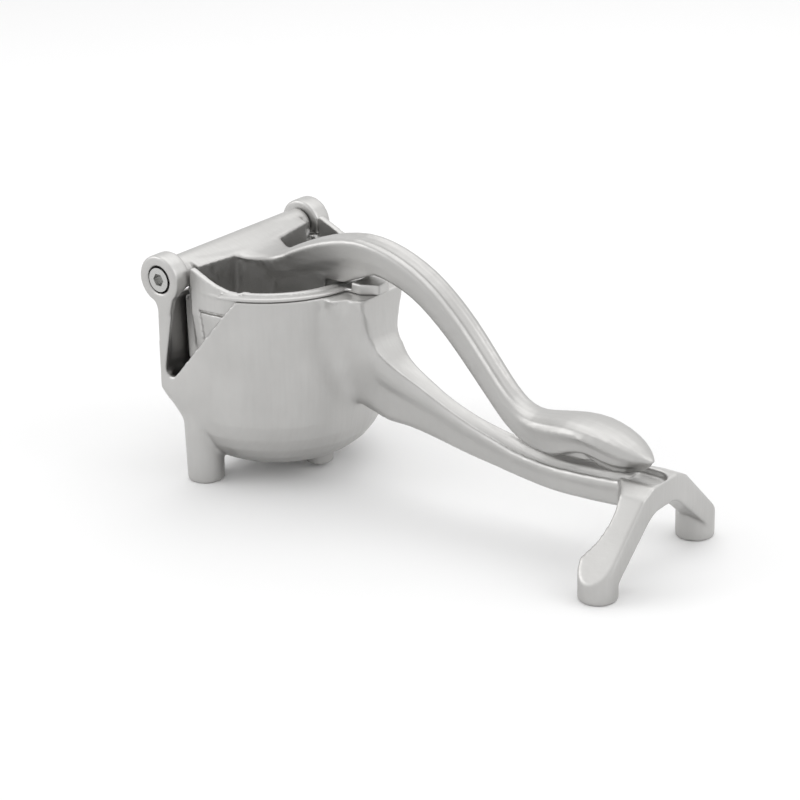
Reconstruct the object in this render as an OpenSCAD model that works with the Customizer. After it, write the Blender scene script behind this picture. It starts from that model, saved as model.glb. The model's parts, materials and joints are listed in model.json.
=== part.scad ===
// Lever press juicer for citrus fruit, cast in aluminium alloy.
// A footed bowl with two side spouts and a long arm carries a perforated filter basket.
// The press lever turns on a steel shaft between two ears and closes over the arm.
// The origin is on the ground under the middle of the overall box, the handle end is +X.

/* [Overall] */
// Length from the hinge ears to the rear feet
overall_l = 230; // [215:1:260]
// Height of the hinge axis above the ground
hinge_z = 91; // [89:0.5:94]
// Height of the lever's back above the hinge axis
crown_rise = 19; // [17:0.5:22]

/* [Hinge] */
// How far each ear stands out past the bowl's side
ear_overhang = 3; // [1.5:0.5:6]
// Thickness of each ear
ear_t = 9; // [8:0.5:10]
// Radius of each ear
ear_r = 10.5; // [9.5:0.25:12]
// Radius of the steel shaft
shaft_r = 5; // [4:0.1:5.4]
// Radius of the lever's barrel
barrel_r = 7.2; // [6.9:0.1:8]
// Radius of the screw's shank
screw_r = 3; // [2:0.1:3.4]
// Radius of the screw's head
screw_head_r = 5.2; // [4.5:0.1:6]
// Height of the screw's head
screw_head_h = 6; // [4:0.25:6.5]
// Depth to which the screw goes into the shaft
screw_reach = 12; // [8:0.5:20]
// Width across the flats of the screw's socket
socket_af = 5; // [3:0.5:6]
// Radial running clearance of the barrel on the shaft
running_gap = 0.05; // [0.02:0.01:0.09]
// Gap between the barrel's ends and the ears
barrel_end_gap = 0.4; // [0.2:0.1:1]

/* [Bowl] */
// Outer radius of the bowl
bowl_r = 47; // [45:0.5:50]
// Wall of the bowl
bowl_wall = 3.5; // [2.5:0.25:4]
// Distance from the hinge axis to the bowl's centre
bowl_x = 21; // [19:0.5:24]
// Height of the hinge axis above the bowl's rim
rim_drop = 4; // [3:0.5:6]
// Height of the bowl's underside above the ground
bowl_bottom_z = 4; // [3:0.5:8]
// Height of the bowl's rounded bottom
bowl_round_h = 38; // [34:1:42]
// Height of the spouts' lowest points
spout_z = 48; // [44:1:54]
// Thickness of the wall between the ears
front_wall = 3.5; // [2.5:0.25:4.5]
// Distance from the hinge axis to the spout's upper end at the rim
spout_l = 36; // [32:1:40]

/* [Feet] */
// Radius of each front leg at the ground
leg_r = 8; // [6.5:0.25:9]
// How far each front leg stands in from the ears' outer faces
leg_inset = 3; // [2:0.5:8]
// Distance from the hinge axis to the front legs
leg_x = 11; // [9:0.5:13]
// Radius of the casting stub under the bowl
stub_r = 6.2; // [4:0.2:8]
// Radius of each rear foot
foot_r = 8; // [6:0.25:9]
// How far each rear foot stands in from the ears' outer faces
foot_inset = 7; // [1:0.5:12]
// Height of each rear foot
foot_h = 12; // [8:0.5:15]
// Length of the arch along the arm
arch_l = 17; // [15.5:0.5:20]
// Height of the arch's top
arch_z = 38.5; // [37:0.5:40]
// Thickness of the arch's legs
arch_t = 9.6; // [8:0.2:11]

/* [Arm] */
// Half width of the arm at its narrowest
arm_half_w = 5; // [4:0.25:6.5]
// Depth of the arm behind the bowl
arm_depth = 14.5; // [12:0.5:18]
// Depth of the hollow along the arm's top
trough_depth = 3.2; // [1.5:0.2:4]

/* [Basket] */
// Gap between the basket and the bowl's wall
basket_gap = 3; // [2.5:0.25:4]
// Wall of the basket
basket_wall = 2.8; // [2:0.2:3.2]
// Height of the basket's underside above the ground
basket_bottom_z = 26; // [22:0.5:29]
// Thickness of the basket's lip
lip_t = 1.6; // [1.2:0.2:3]
// Diameter of the drain holes
drain_d = 3; // [2:0.25:4]
// Distance between the rings of drain holes
drain_pitch = 6.4; // [6:0.2:8]
// Number of rings of drain holes
drain_rings = 4; // [2:1:4]
// Width of the lifting tab
tab_w = 15; // [10:1:20]
// Thickness of the lifting tab
tab_t = 4.5; // [3:0.5:5]

/* [Lever] */
// Half width of the lever's beam
beam_half_w = 6.6; // [5.5:0.25:8]
// Depth of the beam over the bowl
beam_depth = 14.5; // [12:0.5:16]
// Depth of the groove along the beam's back
groove_depth = 0.9; // [0:0.1:1.5]
// Half width of the handle pad
pad_half_w = 11.5; // [9:0.5:13]
// Gap between the press head and the basket's wall
head_gap = 3.7; // [3:0.1:6]
// Depth of the press head's top below the bowl's rim
head_h_down = 17; // [12:0.5:24]
// Gap between the press head and the basket's floor
head_floor_gap = 6; // [5:0.5:9]

/* [Hidden] */

// Overrun of the cuts
over = 1;
// Facets of the large castings
cast_fn = 64;
hinge_x = -(overall_l/2 - ear_r);
rear_x = overall_l - ear_r;
hinge_w = 2*(bowl_r + ear_overhang);
rim_z = hinge_z - rim_drop;
leg_y = hinge_w/2 - leg_r - leg_inset;
foot_y = hinge_w/2 - foot_r - foot_inset;
basket_r = bowl_r - bowl_wall - basket_gap;
head_r = basket_r - basket_wall - head_gap;

// Points of a superellipse quarter, as shares of its radius and height
round_power = 2.8;
round_steps = 9;
function round_share(a) = [pow(sin(a), 2/round_power), 1 - pow(cos(a), 2/round_power)];
round_shares = [for (k = [0:round_steps]) round_share(90*k/round_steps)];

// Catmull-Rom value between the second and third of four
function between(a, b, c, d, t) = 0.5*(2*b + (c - a)*t + (2*a - 5*b + 4*c - d)*t*t
    + (3*b - a - 3*c + d)*t*t*t);
function pick(list, k) = list[max(0, min(len(list) - 1, k))];
// A smooth run through a list of stations, with a number of steps between each two
function smooth_run(list, steps) = concat(
    [for (k = [0:len(list) - 2], s = [0:steps - 1])
        between(pick(list, k - 1), list[k], list[k + 1], pick(list, k + 2), s/steps)],
    [list[len(list) - 1]]);

// A closed solid through rings of points, all with the same count
module loft(rings) {
    n = len(rings[0]);
    m = len(rings);
    polyhedron(
        points = [for (r = rings, p = r) p],
        faces = concat(
            [[for (j = [0:n - 1]) j]],
            [for (i = [0:m - 2], j = [0:n - 1], h = [0, 1]) h == 0
                ? [i*n + j, (i + 1)*n + j, (i + 1)*n + (j + 1)%n]
                : [i*n + j, (i + 1)*n + (j + 1)%n, i*n + (j + 1)%n]],
            [[for (j = [0:n - 1]) (m - 1)*n + n - 1 - j]]));
}

// A ring set square to a run in the XZ plane; outline points are [across, down]
function square_ring(run, k, outline) =
    let (a = pick(run, k - 1), b = pick(run, k + 1), dx = b[0] - a[0], dz = b[1] - a[1],
         l = norm([dx, dz]), p = run[k])
    [for (q = outline) [p[0] + q[1]*dz/l, q[0], p[1] - q[1]*dx/l]];

// Body casting

// Solid of revolution with a rounded bottom, standing on its own axis
module round_cup(r, bottom_z, round_h, top_z) {
    rotate_extrude($fn = cast_fn)
        polygon(concat([for (s = round_shares) [r*s[0], bottom_z + round_h*s[1]]],
            [[r, top_z], [0, top_z]]));
}

front_x = -0.85*front_wall;
front_lean = 0.5*front_wall;
tip_r_share = 0.85;

// Side view of the room behind a flat front that leans in at the top and back to the legs
module behind_front(x, lean_z, lean_x, bottom_z) {
    rotate([90, 0, 0])
        linear_extrude(2*hinge_w, center = true)
            polygon([[x + front_lean, 2*hinge_z], [x + front_lean, rim_z], [x, lean_z],
                [lean_x, bottom_z], [overall_l, bottom_z], [overall_l, 2*hinge_z]]);
}

// The bowl drawn out to two corners under the ears, inset by the wall for its cavity
module bowl_form(inset, top_z) {
    corner_r = 0.5*front_wall;
    intersection() {
        hull() {
            translate([bowl_x, 0, 0])
                round_cup(bowl_r - inset, bowl_bottom_z + inset, bowl_round_h - inset, top_z);
            for (s = [-1, 1])
                translate([front_x + inset + corner_r, s*(hinge_w/2 - inset - corner_r),
                        spout_z - 1.6*bowl_wall + 0.7*inset])
                    cylinder(r = corner_r, h = top_z - spout_z, $fn = 24);
        }
        behind_front(front_x + inset, spout_z - 1.6*bowl_wall, leg_x - 0.4*leg_r + inset,
            bowl_bottom_z/2);
    }
}

// Side view of the opening over each spout
module spout_cut() {
    tip_r = tip_r_share*front_wall;
    rotate([90, 0, 0])
        linear_extrude(2*hinge_w, center = true)
            hull() {
                translate([front_x + front_wall + tip_r, spout_z + tip_r]) circle(tip_r, $fn = 24);
                translate([front_x + 3.5*front_wall, rim_z + ear_r]) square([over, over]);
                translate([spout_l, rim_z]) square([over, ear_r + over]);
            }
}

ear_foot_front_shares = [-0.3, 0.85];
ear_foot_rear_shares = [0.72, 0.6];

module ear(s) {
    translate([0, s*(hinge_w/2 - ear_t/2), 0])
        rotate([90, 0, 0])
            linear_extrude(ear_t, center = true)
                union() {
                    translate([0, hinge_z]) circle(ear_r, $fn = 72);
                    polygon([[front_x + front_lean, rim_z - ear_r],
                        [front_x + 2.25*front_wall, rim_z - ear_r],
                        [ear_foot_rear_shares[0]*ear_r, hinge_z - ear_foot_rear_shares[1]*ear_r],
                        [ear_foot_front_shares[0]*ear_r, hinge_z - ear_foot_front_shares[1]*ear_r]]);
                }
}

leg_taper = 0.08;
stub_lift = 0.4*bowl_bottom_z;
module front_legs() {
    for (s = [-1, 1])
        translate([leg_x, s*leg_y, 0])
            cylinder(r1 = leg_r, r2 = leg_r*(1 + leg_taper), h = spout_z, $fn = 48);
    translate([2*bowl_x, 0, stub_lift])
        cylinder(r = stub_r, h = bowl_bottom_z + bowl_wall, $fn = 48);
}

// Stations of the arm: distance from the hinge, height of the top, half width, depth, web share, trough share
arm_end_x = rear_x - arch_l/2;
flange_x = bowl_x + bowl_r + 3.4*bowl_wall;
flange_half_w = 0.42*bowl_r;
arm_run_l = arm_end_x - flange_x;
arm_drop = rim_z - arch_z;
arm_stations = [for (s = [
        [0.000, 1.02, 3.10, 1.60, 1.30, 0], [0.000, 0.82, 2.95, 1.70, 1.25, 0],
        [0.004, 0.62, 2.50, 1.90, 1.15, 0], [0.040, 0.47, 1.90, 2.05, 1.00, 0],
        [0.090, 0.37, 1.45, 1.85, 0.80, 0.1], [0.165, 0.27, 1.15, 1.50, 0.86, 0.1],
        [0.255, 0.155, 1.00, 1.18, 0.88, 0.1], [0.360, 0.055, 1.05, 0.98, 0.90, 0.15],
        [0.460, -0.010, 1.20, 0.85, 0.90, 0.3], [0.560, -0.060, 1.45, 0.76, 0.90, 0.7],
        [0.680, -0.080, 1.60, 0.78, 0.90, 1.0], [0.800, -0.065, 1.65, 0.80, 0.90, 1.0],
        [0.920, -0.035, 1.68, 0.82, 0.90, 1.0], [1.000, -0.010, 1.68, 0.84, 0.90, 0.9]])
    [flange_x + s[0]*arm_run_l, arch_z + s[1]*arm_drop, s[2]*arm_half_w, s[3]*arm_depth,
        s[4], s[5]*trough_depth]];

function arm_outline(s) =
    let (w = s[2], d = s[3], v = s[4]*w, t = s[5], rim = 0.16*d)
    [[w, rim], [0.92*w, 0.2*rim], [0.76*w, 0], [0.5*w, 0.75*t], [0, t], [-0.5*w, 0.75*t],
        [-0.76*w, 0], [-0.92*w, 0.2*rim], [-w, rim], [-0.98*w, 1.7*rim], [-v, 2.6*rim],
        [-0.96*v, 0.9*d], [-0.75*v, d], [0.75*v, d], [0.96*v, 0.9*d], [v, 2.6*rim], [0.98*w, 1.7*rim]];

module arm() {
    run = smooth_run(arm_stations, 3);
    difference() {
        loft([for (k = [0:len(run) - 1]) square_ring(run, k, arm_outline(run[k]))]);
        translate([0, -bowl_r, rim_z]) cube([3*bowl_r, 2*bowl_r, bowl_r]);
    }
}

// End view of the arch, one half
arch_half_w = foot_r + 0.1*foot_r;
module arch_half() {
    polygon([[0, arch_z], [arch_half_w, arch_z], [1.75*arch_half_w, arch_z - 0.3*arch_t],
        [foot_y + foot_r, 0.7*foot_h], [foot_y + foot_r, 0], [foot_y + 0.6*foot_r, 0],
        [foot_y, 0.37*foot_h], [1.4*arch_half_w, arch_z - 1.5*arch_t],
        [1.1*arch_half_w, arch_z - 1.3*arch_t], [0.75*arch_half_w, arch_z - 1.17*arch_t],
        [0, arch_z - 1.13*arch_t]]);
}

// The arch from side to side, with its legs or filled down to the ground
module arch_prism(filled) {
    translate([rear_x - arch_l, 0, 0])
        rotate([90, 0, 90])
            linear_extrude(arch_l) {
                for (s = [0, 1]) mirror([s, 0]) arch_half();
                if (filled)
                    polygon([[-foot_y - foot_r, 0], [foot_y + foot_r, 0], [foot_y + foot_r, 0.7*foot_h],
                        [arch_half_w, arch_z], [-arch_half_w, arch_z], [-foot_y - foot_r, 0.7*foot_h]]);
            }
}

module rear_pegs(h) {
    for (s = [-1, 1])
        translate([rear_x - foot_r, s*foot_y, 0]) cylinder(r = foot_r, h = h, $fn = 48);
}

module arch() {
    waist_w = 0.62*arch_l;
    waist_depth = 2*foot_r - waist_w;
    waist_reach = (foot_y - arch_half_w)/2;
    waist_r = (pow(waist_reach, 2) + pow(waist_depth, 2))/(2*waist_depth);
    difference() {
        intersection() {
            arch_prism(false);
            union() {
                translate([rear_x - arch_l, -foot_y, 0]) cube([arch_l, 2*foot_y, arch_z]);
                rear_pegs(arch_z);
            }
        }
        for (s = [-1, 1])
            translate([rear_x - waist_w - waist_r, s*(foot_y - waist_reach), 0])
                cylinder(r = waist_r, h = arch_z, $fn = 96);
    }
    intersection() {
        arch_prism(true);
        rear_pegs(1.2*foot_h);
    }
}

// Rounded hollow in the arch's top, where the arm's trough ends
module trough_end() {
    slot_w = 1.26*arm_half_w;
    translate([arm_end_x + 0.2*slot_w, 0, arch_z - 0.9*trough_depth]) {
        cylinder(r = slot_w, h = arch_z, $fn = 48);
        translate([-arch_l, -slot_w, 0]) cube([arch_l, 2*slot_w, arch_z]);
    }
}

screw_hole_r = screw_r + 0.1*screw_r;
counterbore_r = screw_head_r + 0.15*screw_head_r;
counterbore_h = screw_head_h + 0.3;

// Shaft bores and counterbores of both ears
module ear_bores() {
    for (s = [-1, 1])
        translate([0, s*hinge_w/2, hinge_z])
            rotate([s*90, 0, 0]) {
                translate([0, 0, -over]) cylinder(r = counterbore_r, h = counterbore_h + over, $fn = 48);
                translate([0, 0, -over]) cylinder(r = screw_hole_r, h = ear_t + 2*over, $fn = 48);
            }
}

// Room between the ears for the barrel and the basket's open front
module barrel_room() {
    room_w = hinge_w - 2*ear_t;
    translate([-2*ear_r, -room_w/2, hinge_z - barrel_r - 1.5*over]) cube([4*ear_r, room_w, 4*ear_r]);
}

module body_casting() {
    color([0.74, 0.74, 0.73])
        translate([hinge_x, 0, 0])
            difference() {
                union() {
                    difference() {
                        bowl_form(0, rim_z);
                        spout_cut();
                    }
                    for (s = [-1, 1]) ear(s);
                    front_legs();
                    arm();
                    arch();
                }
                bowl_form(bowl_wall, rim_z + over);
                barrel_room();
                trough_end();
                ear_bores();
            }
}

// Filter basket

basket_x = bowl_x;
basket_front_x = 0.25*ear_r;
basket_round_h = 0.75*bowl_round_h;
cheek_top_z = rim_z + 0.9*ear_r;
cheek_x = barrel_r + 3*barrel_end_gap;
lip_top_z = rim_z + lip_t;

// Basket shape inset by a wall: a round cup drawn out forwards between flat cheeks
module basket_form(inset, top_z) {
    r = basket_r - inset;
    corner_r = basket_wall + over;
    round_z = basket_bottom_z + basket_round_h;
    intersection() {
        union() {
            translate([basket_x, 0, 0])
                round_cup(r, basket_bottom_z + inset, basket_round_h - inset, top_z);
            translate([basket_x, 0, rim_z - flare_h])
                cylinder(r1 = r, r2 = flare_r - inset, h = flare_h, $fn = cast_fn);
            translate([0, 0, round_z])
                linear_extrude(top_z - round_z)
                    polygon([[basket_x, r], [basket_front_x + inset + corner_r, r],
                        [basket_front_x + inset, r - corner_r], [basket_front_x + inset, corner_r - r],
                        [basket_front_x + inset + corner_r, -r], [basket_x, -r]]);
        }
        behind_front(basket_front_x + inset, round_z + inset, leg_x + inset, basket_bottom_z/2);
    }
}

flare_x = ear_r + 2*barrel_end_gap;
flare_r = bowl_r - bowl_wall - 0.1*basket_gap;
flare_h = 0.9*ear_r;
cheek_low_z = spout_z + 0.3*(rim_z - spout_z);

// Cheeks that lean out to the bowl's wall behind the spouts, and run on round the bowl's curve
module cheek_flare(inset, top_z) {
    r = flare_r - 0.12*basket_gap - inset;
    open_x = flare_x - (inset > 0 ? over : 0);
    half = [[flare_x + inset, 0], [flare_x + inset, r], [bowl_x, r], [bowl_x + r*sin(10), r*cos(10)],
        [bowl_x + r*sin(20), r*cos(20)], [bowl_x + r*sin(20), 0]];
    intersection() {
        rotate([90, 0, 90])
            linear_extrude(bowl_x + bowl_r)
                polygon([[inset - basket_r, cheek_low_z], [basket_r - inset, cheek_low_z],
                    [r, rim_z - 1.1*flare_h], [r, top_z], [-r, top_z], [-r, rim_z - 1.1*flare_h]]);
        linear_extrude(top_z) for (s = [0, 1]) mirror([0, s]) polygon(half);
    }
    if (inset > 0)
        translate([open_x, -r, rim_z]) cube([flare_x - open_x + inset + over, 2*r, top_z - rim_z]);
}

module basket_shape(inset, top_z) {
    basket_form(inset, top_z);
    cheek_flare(inset, top_z);
}

// Side view of what stands above the basket's upper edge
module cheek_trim() {
    rotate([90, 0, 0])
        linear_extrude(2*hinge_w, center = true)
            polygon([[-ear_r, hinge_z - barrel_r - 2*over], [cheek_x, hinge_z - barrel_r - 2*over],
                [cheek_x, rim_z + 0.1*ear_r], [flare_x, rim_z + 0.1*ear_r], [flare_x, cheek_top_z - over],
                [flare_x + over, cheek_top_z], [0.65*spout_l, rim_z + 0.43*ear_r],
                [0.85*spout_l, lip_top_z + 0.08*ear_r], [1.05*spout_l, lip_top_z], [1.3*spout_l, lip_top_z],
                [bowl_x + 2*bowl_r, lip_top_z], [bowl_x + 2*bowl_r, hinge_z + 3*ear_r],
                [-ear_r, hinge_z + 3*ear_r]]);
}

module lip() {
    lip_r = bowl_r - 0.2*bowl_wall;
    intersection() {
        translate([basket_x, 0, rim_z])
            difference() {
                cylinder(r = lip_r, h = lip_t, $fn = 96);
                translate([0, 0, -over]) cylinder(r1 = flare_r - basket_wall - over, r2 = flare_r + 0.5*over,
                    h = lip_t + 2*over, $fn = 96);
            }
        translate([0.8*spout_l, -bowl_r, rim_z - over]) cube([2*bowl_r, 2*bowl_r, lip_t + 2*over]);
    }
}

tab_end_x = flange_x + 0.3*bowl_wall;
module lifting_tab() {
    root_x = basket_x + bowl_r - 0.6*bowl_wall;
    tip_w = 0.45*tab_w;
    for (q = [[root_x, lip_t], [root_x + bowl_wall, tab_t]])
        translate([0, 0, rim_z])
            linear_extrude(q[1])
                polygon([[q[0], tab_w/2], [q[0], -tab_w/2], [tab_end_x - tip_w, -tab_w/2],
                    [tab_end_x, -tip_w/2], [tab_end_x, tip_w/2], [tab_end_x - tip_w, tab_w/2]]);
}

module drain_holes() {
    translate([basket_x, 0, basket_bottom_z - over])
        for (ring = [0:drain_rings], k = [0:max(0, 6*ring - 1)])
            rotate([0, 0, ring == 0 ? 0 : 60*k/ring])
                translate([ring*drain_pitch, 0, 0])
                    cylinder(d = drain_d, h = basket_wall + basket_round_h/2, $fn = 24);
}

// Incised frame line on each cheek
module cheek_windows() {
    frame_l = 0.5*spout_l;
    frame_h = 0.3*rim_z;
    line_w = 0.4*basket_wall;
    difference() {
        translate([0.43*spout_l + frame_l/2, 0, rim_z - 0.76*ear_r - frame_h/2])
            rotate([90, 0, 0])
                linear_extrude(2*hinge_w, center = true)
                    difference() {
                        square([frame_l, frame_h], center = true);
                        square([frame_l - 2*line_w, frame_h - 2*line_w], center = true);
                    }
        basket_shape(0.6*basket_wall, cheek_top_z);
    }
}

module filter_basket() {
    color([0.70, 0.70, 0.69])
        translate([hinge_x, 0, 0])
            difference() {
                union() {
                    difference() {
                        basket_shape(0, cheek_top_z);
                        cheek_trim();
                    }
                    lip();
                    lifting_tab();
                }
                basket_shape(basket_wall, cheek_top_z + over);
                cheek_windows();
                drain_holes();
            }
}

// Press lever

pad_tip_x = rear_x - 0.34*arch_l;
// Stations of the lever: length share, height share, half width in beams, depth share, crown share, groove share
// Heights up to the crown are shares of its rise over the hinge, then of its rise over the arch
crown_share = 0.33;
lever_rise = hinge_z + crown_rise - arch_z;
lever_stations = [for (s = [
        [0.010, 0.368, 5.20, 0.45, 0.12, 0], [0.030, 0.300, 4.20, 0.45, 0.12, 0],
        [0.041, 0.258, 3.00, 0.48, 0.14, 0], [0.056, 0.210, 2.28, 0.55, 0.15, 0],
        [0.076, 0.170, 1.86, 0.62, 0.15, 0], [0.098, 0.180, 1.38, 0.74, 0.15, 0],
        [0.121, 0.228, 1.08, 0.88, 0.15, 0], [0.143, 0.330, 1.00, 1.00, 0.14, 0],
        [0.165, 0.460, 1.00, 1.04, 0.13, 0],
        [0.212, 0.692, 1.00, 1.04, 0.12, 0.2], [0.270, 0.902, 1.00, 1.00, 0.12, 0.6],
        [0.330, 1.002, 1.00, 0.97, 0.12, 1], [0.387, 0.985, 1.00, 0.92, 0.12, 1],
        [0.440, 0.936, 1.00, 0.86, 0.12, 1], [0.491, 0.860, 1.00, 0.80, 0.12, 1],
        [0.538, 0.756, 1.00, 0.76, 0.12, 1], [0.585, 0.623, 1.00, 0.72, 0.12, 1],
        [0.628, 0.476, 0.98, 0.68, 0.13, 1], [0.666, 0.343, 0.97, 0.65, 0.15, 0.9],
        [0.694, 0.262, 1.00, 0.68, 0.20, 0.5], [0.718, 0.220, 1.05, 0.80, 0.25, 0],
        [0.746, 0.206, 1.22, 0.98, 0.28, 0], [0.784, 0.222, 1.48, 1.10, 0.30, 0],
        [0.831, 0.243, 1.70, 0.95, 0.32, 0], [0.878, 0.242, 1.74, 0.85, 0.34, 0],
        [0.925, 0.216, 1.58, 0.86, 0.36, 0], [0.963, 0.172, 1.25, 0.72, 0.38, 0],
        [0.988, 0.125, 0.75, 0.48, 0.42, 0], [1.000, 0.090, 0.25, 0.22, 0.45, 0]])
    [s[0]*pad_tip_x, s[0] < crown_share ? hinge_z + s[1]*crown_rise : arch_z + s[1]*lever_rise,
        s[2] < 1.74 && s[0] > 0.72
        ? s[2]*pad_half_w/1.74 : s[2]*beam_half_w, s[3]*beam_depth, s[4], s[5]*groove_depth]];

// Share by which the wide parts narrow below their widest line
under_share = 0.28;
function beam_outline(s) =
    let (w = s[2], d = s[3], c = s[4]*d, g = s[5],
         u = 1 - under_share*max(0, min(1, w/beam_half_w - 1)))
    [[w, c], [0.86*w, 0.42*c], [0.55*w, 0.1*c], [0.35*w, 0.05*c + g], [0, g], [-0.35*w, 0.05*c + g],
        [-0.55*w, 0.1*c], [-0.86*w, 0.42*c], [-w, c], [-0.98*w*u, 0.6*d], [-0.9*w*u, 0.9*d],
        [-0.7*w*u, d], [0.7*w*u, d], [0.9*w*u, 0.9*d], [0.98*w*u, 0.6*d]];

module beam() {
    run = smooth_run(lever_stations, 2);
    loft([for (k = [0:len(run) - 1]) square_ring(run, k, beam_outline(run[k]))]);
}

head_top_angle = 1;
head_low_angle = 76;
head_floor_r = 2*head_r;
head_top_z = rim_z - head_h_down;
head_root_x = barrel_r + over;
neck_top_z = hinge_z + 0.15*barrel_r;

// Upright walls that follow the beam's root down to the press head, with their rear edge on an arc
module head_neck() {
    neck_half = [[head_root_x, 0.5*head_r], [0.36*head_r, 0.41*head_r], [0.48*head_r, 0.34*head_r],
        [0.62*head_r, 0.25*head_r], [0.76*head_r, 0.95*beam_half_w], [2*head_r, 0.9*beam_half_w]];
    intersection() {
        translate([0, 0, head_top_z - over])
            linear_extrude(neck_top_z - head_top_z + over)
                for (s = [0, 1])
                    mirror([0, s])
                        polygon(concat([[head_root_x, -over]], neck_half, [[2*head_r, -over]]));
        translate([0, 0, hinge_z])
            rotate([90, 0, 0]) cylinder(r = basket_x + head_r - over, h = 2*head_r, center = true, $fn = 96);
    }
}

// Sector swept about the hinge by the head's plan, so it clears the basket as the lever opens
module press_head() {
    floor_z = basket_bottom_z + basket_wall + head_floor_gap;
    intersection() {
        translate([basket_front_x + basket_wall + 0.5*head_gap, -2*head_r, 0])
            cube([4*head_r, 4*head_r, head_top_z]);
        translate([0, 0, hinge_z])
            rotate([90, 0, 0])
                rotate([0, 0, -head_low_angle])
                    rotate_extrude(angle = head_low_angle - head_top_angle, $fn = 96)
                        intersection() {
                            translate([basket_x, 0]) circle(head_r, $fn = 72);
                            translate([head_root_x, -head_r]) square([2*head_r, 2*head_r]);
                        }
        translate([basket_x, 0, floor_z + head_floor_r]) sphere(head_floor_r, $fn = 96);
    }
}

module press_lever() {
    barrel_l = hinge_w - 2*ear_t - 2*barrel_end_gap;
    color([0.78, 0.78, 0.77])
        translate([hinge_x, 0, 0])
            difference() {
                union() {
                    translate([0, 0, hinge_z])
                        rotate([90, 0, 0]) cylinder(r = barrel_r, h = barrel_l, center = true, $fn = 72);
                    beam();
                    head_neck();
                    press_head();
                }
                translate([0, 0, hinge_z])
                    rotate([90, 0, 0])
                        cylinder(r = shaft_r + running_gap, h = hinge_w, center = true, $fn = 72);
            }
}

// Hinge shaft and screws

module hinge_shaft() {
    shaft_l = hinge_w - 2*ear_t;
    color([0.62, 0.63, 0.64])
        translate([hinge_x, 0, hinge_z])
            rotate([90, 0, 0])
                difference() {
                    cylinder(r = shaft_r, h = shaft_l, center = true, $fn = 72);
                    for (s = [0, 1])
                        mirror([0, 0, s])
                            translate([0, 0, shaft_l/2 - screw_reach - over])
                                cylinder(r = screw_r + running_gap, h = screw_reach + 2*over, $fn = 48);
                }
}

module hinge_screws() {
    seat_t = ear_t - counterbore_h;
    color([0.66, 0.67, 0.68])
        translate([hinge_x, 0, hinge_z])
            for (s = [-1, 1])
                rotate([-s*90, 0, 0])
                    translate([0, 0, hinge_w/2 - ear_t])
                        difference() {
                            union() {
                                translate([0, 0, -screw_reach])
                                    cylinder(r = screw_r, h = screw_reach + seat_t + over, $fn = 48);
                                translate([0, 0, seat_t])
                                    cylinder(r = screw_head_r, h = screw_head_h, $fn = 48);
                            }
                            translate([0, 0, seat_t + screw_head_h/2])
                                cylinder(d = socket_af/cos(30), h = screw_head_h, $fn = 6);
                        }
}

body_casting();
filter_basket();
press_lever();
hinge_shaft();
hinge_screws();
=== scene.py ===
import json
import math
import bmesh
import bpy
from mathutils import Matrix, Vector


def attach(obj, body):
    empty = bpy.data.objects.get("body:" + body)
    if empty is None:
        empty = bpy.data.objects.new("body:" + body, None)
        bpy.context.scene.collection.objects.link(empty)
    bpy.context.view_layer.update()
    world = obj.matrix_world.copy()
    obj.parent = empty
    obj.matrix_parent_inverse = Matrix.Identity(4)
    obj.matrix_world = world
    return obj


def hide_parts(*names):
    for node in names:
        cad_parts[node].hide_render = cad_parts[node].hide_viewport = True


# Lever press juicer in cast aluminium, dressed around its frame
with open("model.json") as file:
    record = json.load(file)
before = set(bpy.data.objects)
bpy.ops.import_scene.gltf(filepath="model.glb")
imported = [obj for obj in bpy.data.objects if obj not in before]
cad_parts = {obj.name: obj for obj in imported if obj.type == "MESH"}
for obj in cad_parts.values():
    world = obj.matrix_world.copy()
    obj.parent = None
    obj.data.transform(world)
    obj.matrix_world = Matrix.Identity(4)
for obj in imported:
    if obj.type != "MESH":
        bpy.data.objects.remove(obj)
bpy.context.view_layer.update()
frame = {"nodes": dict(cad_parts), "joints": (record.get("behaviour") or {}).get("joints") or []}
scene = bpy.context.scene
hinge = Vector(frame["joints"][0]["pos_m"])

# Camera, placed from the hinge line; angles in degrees, lengths in metres, lens in mm
cameraSet = {
    "azimuth": 38.892,
    "elevation": 22.567,
    "roll": 1.4347,
    "distance": 0.98102,
    "target": (0.10585, -0.02235, 0.05287),
    "lens": 108.74,
    "sensor": 36.0,
    "clipStart": 0.05,
}


def makeCamera():
    a = math.radians(cameraSet["azimuth"])
    e = math.radians(cameraSet["elevation"])
    r = math.radians(cameraSet["roll"])
    back = Vector((math.sin(a) * math.cos(e), -math.cos(a) * math.cos(e), math.sin(e)))
    right = Vector((math.cos(a), math.sin(a), 0.0))
    up = back.cross(right)
    rightRolled = right * math.cos(r) - up * math.sin(r)
    upRolled = right * math.sin(r) + up * math.cos(r)
    target = Vector(cameraSet["target"]) + Vector((hinge.x, 0.0, 0.0))
    data = bpy.data.cameras.new("studioCamera")
    data.lens = cameraSet["lens"]
    data.sensor_width = cameraSet["sensor"]
    data.clip_start = cameraSet["clipStart"]
    camera = bpy.data.objects.new("studioCamera", data)
    turn = Matrix((rightRolled, upRolled, back)).transposed().to_4x4()
    camera.matrix_world = Matrix.Translation(target + back * cameraSet["distance"]) @ turn
    scene.collection.objects.link(camera)
    scene.camera = camera
    print("camera placed")


makeCamera()

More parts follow.
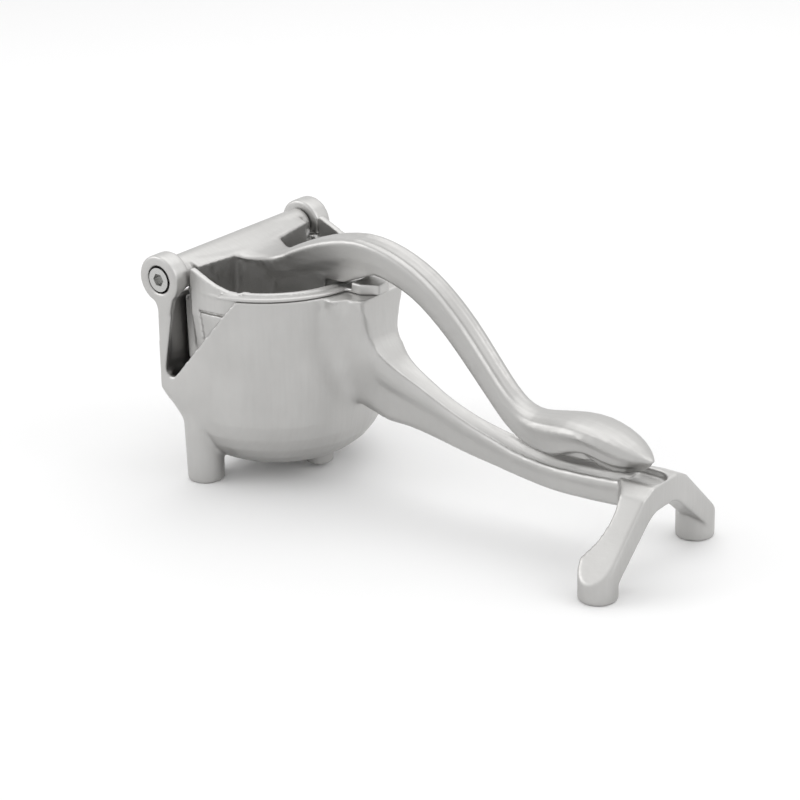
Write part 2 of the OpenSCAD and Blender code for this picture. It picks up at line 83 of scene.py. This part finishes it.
# Metal finishes: colour, roughness, size and depth of the grain in metres, and the brushing,
# whose stretch is the number of strokes per metre along x, y and z
finishes = {
    "castBody": {
        "tone": (0.505, 0.50, 0.49), "roughness": 0.42, "roughSpread": 0.06,
        "grainSize": 0.0016, "grainDepth": 0.00006,
        "brush": (180.0, 900.0, 60.0), "brushDepth": 0.00003,
    },
    "castBasket": {
        "tone": (0.51, 0.505, 0.495), "roughness": 0.42, "roughSpread": 0.06,
        "grainSize": 0.0014, "grainDepth": 0.00006,
        "brush": (900.0, 200.0, 80.0), "brushDepth": 0.00003,
    },
    "castLever": {
        "tone": (0.47, 0.465, 0.455), "roughness": 0.42, "roughSpread": 0.06,
        "grainSize": 0.0018, "grainDepth": 0.00005,
        "brush": (60.0, 900.0, 300.0), "brushDepth": 0.00003,
    },
    "turnedSteel": {
        "tone": (0.48, 0.48, 0.475), "roughness": 0.30, "roughSpread": 0.05,
        "grainSize": 0.0006, "grainDepth": 0.00002,
        "brush": (1200.0, 40.0, 1200.0), "brushDepth": 0.00002,
    },
    "screwSteel": {
        "tone": (0.50, 0.50, 0.49), "roughness": 0.28, "roughSpread": 0.05,
        "grainSize": 0.0005, "grainDepth": 0.00002,
        "brush": (1500.0, 80.0, 1500.0), "brushDepth": 0.00002,
    },
}
toneSpread = 0.02  # how far the patches of a casting depart from its tone
patchScale = 45.0  # patches per metre
noiseLow, noiseHigh = 0.3, 0.7  # the part of the noise that is used
bumpStrength = 0.6


def noise(nodes, scale, detail):
    node = nodes.new("ShaderNodeTexNoise")
    node.inputs["Scale"].default_value = scale
    node.inputs["Detail"].default_value = detail
    return node


def bump(nodes, distance):
    node = nodes.new("ShaderNodeBump")
    node.inputs["Distance"].default_value = distance
    node.inputs["Strength"].default_value = bumpStrength
    return node


def metal(name):
    finish = finishes[name]
    mat = bpy.data.materials.new(name)
    mat.use_nodes = True
    nodes = mat.node_tree.nodes
    links = mat.node_tree.links
    nodes.clear()
    out = nodes.new("ShaderNodeOutputMaterial")
    shader = nodes.new("ShaderNodeBsdfPrincipled")
    shader.inputs["Metallic"].default_value = 1.0
    links.new(shader.outputs[0], out.inputs[0])
    place = nodes.new("ShaderNodeTexCoord")

    patches = noise(nodes, patchScale, 4.0)  # broad patches, as a casting has
    links.new(place.outputs["Object"], patches.inputs["Vector"])
    colour = nodes.new("ShaderNodeValToRGB")
    low, high = colour.color_ramp.elements[0], colour.color_ramp.elements[1]
    low.position = noiseLow
    low.color = (*[max(0.0, c - toneSpread) for c in finish["tone"]], 1.0)
    high.position = noiseHigh
    high.color = (*[min(1.0, c + toneSpread) for c in finish["tone"]], 1.0)
    links.new(patches.outputs["Fac"], colour.inputs["Fac"])
    links.new(colour.outputs["Color"], shader.inputs["Base Color"])

    stretch = nodes.new("ShaderNodeMapping")  # brushing: noise drawn out along the strokes
    stretch.inputs["Scale"].default_value = finish["brush"]
    links.new(place.outputs["Object"], stretch.inputs["Vector"])
    strokes = noise(nodes, 1.0, 3.0)
    links.new(stretch.outputs["Vector"], strokes.inputs["Vector"])
    rough = nodes.new("ShaderNodeMapRange")
    rough.inputs["From Min"].default_value = noiseLow
    rough.inputs["From Max"].default_value = noiseHigh
    rough.inputs["To Min"].default_value = finish["roughness"] - finish["roughSpread"]
    rough.inputs["To Max"].default_value = finish["roughness"] + finish["roughSpread"]
    links.new(strokes.outputs["Fac"], rough.inputs["Value"])
    links.new(rough.outputs["Result"], shader.inputs["Roughness"])

    grain = noise(nodes, 1.0 / finish["grainSize"], 2.0)  # fine sand-cast grain
    links.new(place.outputs["Object"], grain.inputs["Vector"])
    grainBump = bump(nodes, finish["grainDepth"])
    links.new(grain.outputs["Fac"], grainBump.inputs["Height"])
    strokeBump = bump(nodes, finish["brushDepth"])
    links.new(strokes.outputs["Fac"], strokeBump.inputs["Height"])
    links.new(grainBump.outputs["Normal"], strokeBump.inputs["Normal"])
    links.new(strokeBump.outputs["Normal"], shader.inputs["Normal"])
    return mat


def inMetres(x, y, z):  # a place given in mm from the hinge line, on the ground plane
    return Vector((hinge.x + x / 1000.0, y / 1000.0, z / 1000.0))


def openMesh(piece):
    bm = bmesh.new()
    bm.from_mesh(piece.data)
    return bm


def closeMesh(bm, piece):
    bm.to_mesh(piece.data)
    bm.free()


def smooth(bm, verts, passes):
    for step in range(passes):
        bmesh.ops.smooth_vert(bm, verts=verts, factor=0.5,
                              use_axis_x=True, use_axis_y=True, use_axis_z=True)


def applyModifiers(piece):
    bpy.context.view_layer.update()
    graph = bpy.context.evaluated_depsgraph_get()
    baked = bpy.data.meshes.new_from_object(piece.evaluated_get(graph))
    piece.modifiers.clear()
    old = piece.data
    piece.data = baked
    bpy.data.meshes.remove(old)


mergeWithin = 0.000002  # corners of the frame mesh closer than this are one, in metres


# A casting starts as a copy of its frame mesh, remeshed so that every edge can be softened
def castCopy(nodeName, pieceName, settings):
    piece = bpy.data.objects.new(pieceName, frame["nodes"][nodeName].data.copy())
    scene.collection.objects.link(piece)
    bm = openMesh(piece)
    bmesh.ops.remove_doubles(bm, verts=bm.verts, dist=mergeWithin)
    for corners in settings.get("added", ()):
        addHull(bm, corners)
    closeMesh(bm, piece)
    remesh = piece.modifiers.new("cast", "REMESH")
    remesh.mode = "VOXEL"
    remesh.voxel_size = settings["voxel"]
    applyModifiers(piece)
    bm = openMesh(piece)
    smooth(bm, bm.verts, settings["passes"])
    closeMesh(bm, piece)
    return piece


def addHull(bm, corners):  # corners in mm from the hinge line; each one stands on both sides
    verts = [bm.verts.new(inMetres(x, side * y, z)) for x, y, z in corners for side in (-1, 1)]
    hull = bmesh.ops.convex_hull(bm, input=verts)
    inner = [e for e in hull["geom_interior"] if isinstance(e, bmesh.types.BMVert)]
    bmesh.ops.delete(bm, geom=inner, context="VERTS")


fadeSteps = (1.0, 0.72, 0.5)  # fewer points each time, so that a fillet fades out


# Smooths only what lies in an ellipsoid, so that two walls run into each other in a fillet
def fillet(bm, centre, radii, passes):
    near = inEllipsoid(bm, centre, radii)
    for reach in fadeSteps:
        smooth(bm, [v for v, away in near if away < reach], passes // len(fadeSteps))


def inEllipsoid(bm, centre, radii):
    found = []
    for v in bm.verts:
        x = v.co.x - centre.x
        if abs(x) < radii[0]:
            away = ((x / radii[0]) ** 2 + ((v.co.y - centre.y) / radii[1]) ** 2
                    + ((v.co.z - centre.z) / radii[2]) ** 2)
            if away < 1.0:
                found.append((v, away))
    return found


def countTriangles(piece):
    return sum(len(p.vertices) - 2 for p in piece.data.polygons)


def finishPiece(piece, mat, body, nodeName, triangles):
    count = countTriangles(piece)
    if count > triangles:
        thin = piece.modifiers.new("thin", "DECIMATE")
        thin.ratio = triangles / count
        applyModifiers(piece)
    piece.data.materials.clear()
    piece.data.materials.append(mat)
    for p in piece.data.polygons:
        p.use_smooth = True
    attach(piece, body)
    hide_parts(nodeName)
    print(piece.name, "has", countTriangles(piece), "triangles")


# Body casting; a fillet is its centre in mm from the hinge line, its reach in metres along
# x, y and z, and its passes
bodyCasting = {
    "voxel": 0.00062,
    "passes": 6,
    "triangles": 190000,
    "sideFillets": (
        ((11, 39, 36), (0.014, 0.014, 0.014), 120),  # legs into the bowl
        ((72, 18, 64), (0.015, 0.013, 0.0225), 240),  # arm's flange into the bowl
        ((71, 12, 42), (0.014, 0.010, 0.018), 120),  # arm's web into the bowl
    ),
    "middleFillets": (
        ((70, 0, 34), (0.014, 0.016, 0.012), 60),  # underside of the web
        ((42, 0, 5), (0.010, 0.010, 0.004), 30),  # stub under the bowl
    ),
}


def makeBody():
    piece = castCopy("body_casting", "castBowlAndArm", bodyCasting)
    bm = openMesh(piece)
    for side in (-1, 1):
        for (x, y, z), reach, passes in bodyCasting["sideFillets"]:
            fillet(bm, inMetres(x, side * y, z), reach, passes)
    for (x, y, z), reach, passes in bodyCasting["middleFillets"]:
        fillet(bm, inMetres(x, y, z), reach, passes)
    closeMesh(bm, piece)
    finishPiece(piece, metal("castBody"), "frame", "body_casting",
                bodyCasting["triangles"])


# Filter basket
filterBasket = {"voxel": 0.00045, "passes": 3, "triangles": 190000}


def makeBasket():
    piece = castCopy("filter_basket", "filterBasket", filterBasket)
    finishPiece(piece, metal("castBasket"), "frame", "filter_basket",
                filterBasket["triangles"])


# Press lever; its casting is filled out with blocks that merge with it, given by their
# corners in mm from the hinge line
pressLever = {
    "voxel": 0.0006,
    "passes": 3,
    "triangles": 190000,
    "added": (
        # wall under the barrel, down to the head
        ((8.0, 34.5, 71), (9.0, 34.5, 71), (11.0, 18, 71),
         (8.0, 35.4, 93), (9.3, 35.4, 95), (12.0, 18, 95)),
        # edge of the plate above that wall
        ((6.6, 35.4, 91), (8.2, 35.4, 90), (3.6, 35.4, 97), (9.3, 35.4, 95), (12.0, 18, 95)),
        # web under the beam, behind the head
        ((48, 5.9, 98), (48, 5.9, 89.6), (63, 5.9, 89.6), (80, 5.9, 96.4), (80, 5.9, 100)),
        # keel under the handle
        ((184, 5.0, 42.4), (188, 5.0, 40.9), (191.5, 4.8, 39.3), (198, 4.7, 38.2),
         (203, 4.3, 38.8), (209, 2.8, 40.4), (212, 1.0, 42.5), (184, 6.5, 48),
         (197, 7.0, 46), (205, 5.5, 46), (211, 1.5, 46)),
        # rib under the handle
        ((168, 3.0, 37.9), (190, 3.0, 39.4), (168, 3.0, 44), (192, 3.0, 46)),
    ),
}


def makeLever():
    piece = castCopy("press_lever", "pressLever", pressLever)
    finishPiece(piece, metal("castLever"), "lever", "press_lever",
                pressLever["triangles"])


makeBody()
makeBasket()
makeLever()

# The shaft and the screws keep their frame meshes
steelPieces = {"hinge_shaft": "turnedSteel", "hinge_screws": "screwSteel"}
for nodeName, finishName in steelPieces.items():
    node = frame["nodes"][nodeName]
    node.data.materials.clear()
    node.data.materials.append(metal(finishName))
print("steel pieces finished")

# Floor and light; a lamp is its place, the place it faces and its sides, in metres, and watts
studio = {
    "floorSize": 6.0,
    "floorTone": 0.95,
    "floorRoughness": 0.9,
    "floorSpecular": 0.1,
    "worldTone": 0.90,
    "worldStrength": 0.85,
    "lamps": {
        "backSoftbox": ((-0.15, 0.42, 1.1), (0.0, 0.0, 0.05), (1.2, 1.2), 4.0),
        "leftSoftbox": ((-1.0, -0.8, 0.7), (0.0, 0.0, 0.05), (0.8, 0.8), 4.0),
        "rightSoftbox": ((0.95, 0.45, 0.7), (0.15, 0.1, 0.0), (0.8, 0.8), 2.5),
    },
}


def makeFloor():
    bpy.ops.mesh.primitive_plane_add(size=studio["floorSize"], location=(0.0, 0.0, 0.0))
    floor = bpy.context.active_object
    floor.name = "studioFloor"
    mat = bpy.data.materials.new("paleFloor")
    mat.use_nodes = True
    shader = mat.node_tree.nodes["Principled BSDF"]
    shader.inputs["Base Color"].default_value = (studio["floorTone"],) * 3 + (1.0,)
    shader.inputs["Roughness"].default_value = studio["floorRoughness"]
    shader.inputs["Specular IOR Level"].default_value = studio["floorSpecular"]
    floor.data.materials.append(mat)


def makeWorld():
    world = bpy.data.worlds.new("studioWorld")
    scene.world = world
    world.use_nodes = True
    nodes = world.node_tree.nodes
    links = world.node_tree.links
    nodes.clear()
    out = nodes.new("ShaderNodeOutputWorld")
    soft = nodes.new("ShaderNodeBackground")
    soft.inputs["Color"].default_value = (studio["worldTone"],) * 3 + (1.0,)
    soft.inputs["Strength"].default_value = studio["worldStrength"]
    white = nodes.new("ShaderNodeBackground")
    white.inputs["Color"].default_value = (1.0, 1.0, 1.0, 1.0)
    white.inputs["Strength"].default_value = 1.0
    path = nodes.new("ShaderNodeLightPath")
    seen = nodes.new("ShaderNodeMath")  # the white is seen by the camera and in reflections
    seen.operation = "MAXIMUM"
    links.new(path.outputs["Is Camera Ray"], seen.inputs[0])
    links.new(path.outputs["Is Glossy Ray"], seen.inputs[1])
    through = nodes.new("ShaderNodeMath")
    through.operation = "MAXIMUM"
    links.new(seen.outputs[0], through.inputs[0])
    links.new(path.outputs["Is Transmission Ray"], through.inputs[1])
    mix = nodes.new("ShaderNodeMixShader")
    links.new(through.outputs[0], mix.inputs["Fac"])
    links.new(soft.outputs[0], mix.inputs[1])
    links.new(white.outputs[0], mix.inputs[2])
    links.new(mix.outputs[0], out.inputs[0])


def makeLamp(name, place, aim, size, watts):
    data = bpy.data.lights.new(name, "AREA")
    data.shape = "RECTANGLE"
    data.size = size[0]
    data.size_y = size[1]
    data.energy = watts
    lamp = bpy.data.objects.new(name, data)
    lamp.location = place
    lamp.rotation_euler = (Vector(aim) - Vector(place)).to_track_quat("-Z", "Y").to_euler()
    scene.collection.objects.link(lamp)


makeFloor()
makeWorld()
for lampName, lampSettings in studio["lamps"].items():
    makeLamp(lampName, *lampSettings)
scene.view_settings.view_transform = "Standard"
print("floor and light finished")
